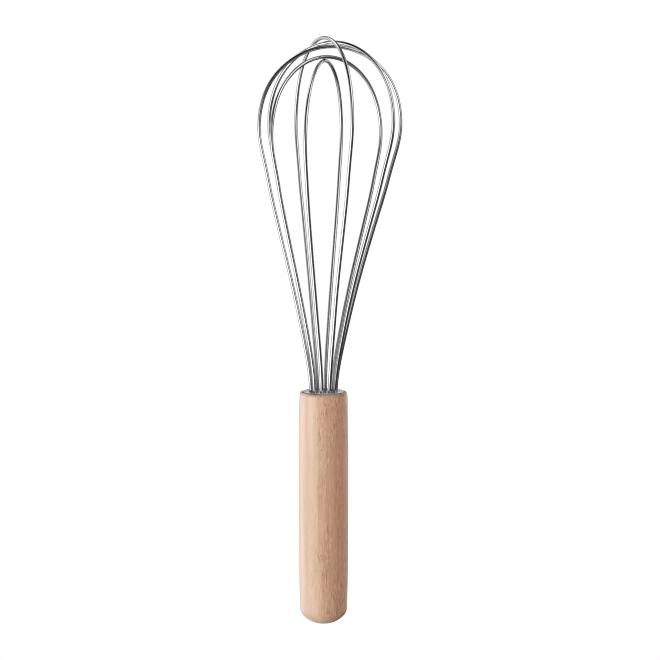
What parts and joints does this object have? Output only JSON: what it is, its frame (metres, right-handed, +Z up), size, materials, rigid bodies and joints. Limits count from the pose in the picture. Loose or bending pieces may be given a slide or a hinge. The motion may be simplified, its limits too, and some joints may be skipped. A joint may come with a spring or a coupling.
{
  "type": "balloon whisk",
  "caption": "Balloon whisk for beating and folding: steel wire loops cross at the crown and run down into a plain turned wooden handle.",
  "frame": {"origin": "centre of the flat on the handle's butt", "axes": "+Z up the handle's axis to the wire crown, +X to the right of the widest view, +Y away from that view"},
  "size_m": [0.0733, 0.0721, 0.3012],
  "materials": {
    "beech": "turned and sanded smooth, matt to satin; the species is taken from the short dark flecks",
    "plate_steel": "satin stainless",
    "resin": "cured potting resin",
    "wire_steel": "polished round stainless wire"
  },
  "bodies": {
    "root": {"handle": "beech", "end_plate": "plate_steel", "epoxy_plug": "resin", "wire_loop_1": "wire_steel", "wire_loop_2": "wire_steel", "wire_loop_3": "wire_steel", "wire_loop_4": "wire_steel", "wire_loop_5": "wire_steel"}
  },
  "joints": []
}
